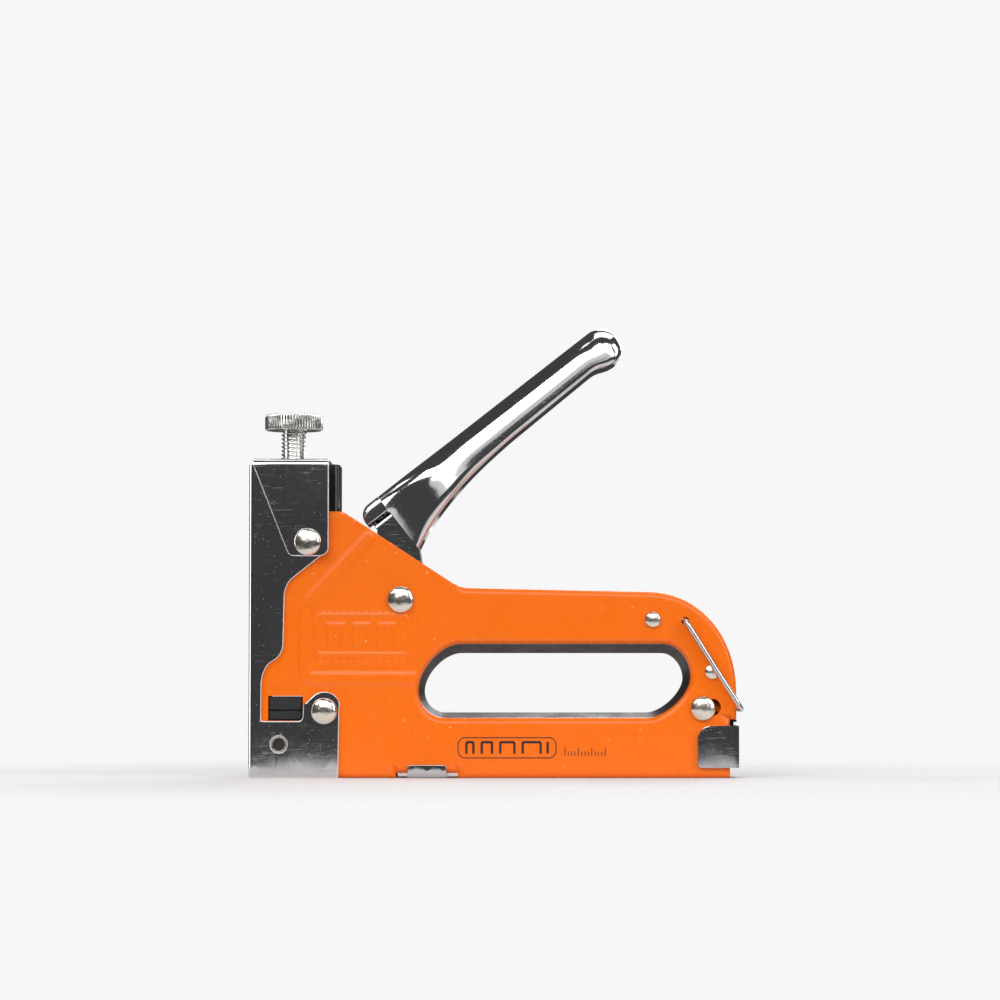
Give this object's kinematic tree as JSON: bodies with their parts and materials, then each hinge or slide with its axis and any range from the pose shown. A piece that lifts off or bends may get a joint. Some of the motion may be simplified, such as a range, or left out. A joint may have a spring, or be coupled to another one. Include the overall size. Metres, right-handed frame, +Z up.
{
  "type": "staple gun",
  "caption": "Hand-squeezed spring staple gun with pressed steel body, hand hole, hinged lever, power knob, lock bail and pull-out staple pusher.",
  "frame": {"origin": "middle of the tool's length and width, on the plane of its sole", "axes": "+X from the nose to the rear of the grip, +Y across the tool, +Z up from the sole"},
  "size_m": [0.1548, 0.0316, 0.1413],
  "materials": {
    "orange_paint": "gloss enamel over pressed steel",
    "chrome_plate": "bright chrome plate with fine scratches",
    "bright_steel": "bright cold-drawn steel",
    "zinc_plate": "bright zinc plate",
    "black_paint": "gloss black",
    "black_rubber": "matt"
  },
  "bodies": {
    "frame": {"body_shell_left": "orange_paint", "body_shell_right": "orange_paint", "nose_cover": "chrome_plate", "adjuster_bracket": "chrome_plate", "bracket_nut": "bright_steel", "inner_frame": "black_paint", "bumper_seat": "black_paint", "bumper_pad": "black_rubber", "magazine_channel": "bright_steel", "magazine_strap": "chrome_plate", "bracket_rivet_left": "zinc_plate", "bracket_rivet_right": "zinc_plate", "handle_pivot_rivet": "zinc_plate", "pivot_spacer_left": "bright_steel", "pivot_spacer_right": "bright_steel", "nose_rivet": "zinc_plate", "rear_rivet": "zinc_plate", "grip_rivet": "zinc_plate", "tail_rivet": "zinc_plate", "roll_pin_left": "bright_steel", "roll_pin_right": "bright_steel", "handle_return_spring": "bright_steel", "main_spring": "bright_steel"},
    "handle": {"handle_lever": "chrome_plate", "lift_arm": "bright_steel", "lift_arm_rivet": "zinc_plate"},
    "striker": {"plunger": "bright_steel", "driver_blade": "bright_steel", "blade_pin": "bright_steel"},
    "seat": {"spring_seat": "bright_steel"},
    "adjuster": {"adjuster_knob": "zinc_plate", "adjuster_screw": "zinc_plate"},
    "bail": {"lock_bail": "bright_steel"},
    "pusher": {"pusher_rod": "bright_steel", "end_cap": "chrome_plate", "pusher_spring": "bright_steel"},
    "catch": {"end_cap_catch": "black_paint"},
    "shoe": {"pusher_shoe": "bright_steel"}
  },
  "joints": [
    {"name": "handle_squeeze", "type": "hinge", "parent": "frame", "child": "handle", "pos_m": [-0.0298, 0, 0.0558], "axis": [0, 1, 0], "range_deg": [0, 44.5], "stiffness_Nm_per_rad": 1.5, "springref_deg": -8.59, "deforming": ["handle_return_spring", "main_spring"]},
    {"name": "striker_lift", "type": "slide", "parent": "frame", "child": "striker", "axis": [0, 0, 1], "range_m": [0, 0.0194], "deforming": ["main_spring"]},
    {"name": "seat_travel", "type": "slide", "parent": "frame", "child": "seat", "axis": [0, 0, -1], "range_m": [0, 0.00874], "deforming": ["main_spring"]},
    {"name": "knob_turn", "type": "hinge", "parent": "seat", "child": "adjuster", "pos_m": [-0.064, 0, 0.1], "axis": [0, 0, -1], "range_deg": [0, 2520], "deforming": ["main_spring"]},
    {"name": "bail_swing", "type": "hinge", "parent": "frame", "child": "bail", "pos_m": [0.0593, 0, 0.0491], "axis": [0, -1, 0], "range_deg": [0, 148]},
    {"name": "magazine_pull", "type": "slide", "parent": "frame", "child": "pusher", "axis": [1, 0, 0], "range_m": [0, 0.14]},
    {"name": "catch_press", "type": "slide", "parent": "pusher", "child": "catch", "axis": [0, 0, -1], "range_m": [0, 0.0009], "stiffness_N_per_m": 400, "springref_m": -0.0005},
    {"name": "shoe_slide", "type": "slide", "parent": "pusher", "child": "shoe", "axis": [1, 0, 0], "range_m": [0, 0.085], "stiffness_N_per_m": 30, "springref_m": -0.03, "deforming": ["pusher_spring"]}
  ],
  "couplings": [
    {"joint": "striker_lift", "follows": "handle_squeeze", "m_per_rad": 0.024933},
    {"joint": "knob_turn", "follows": "seat_travel", "rad_per_m": 5026.5}
  ]
}
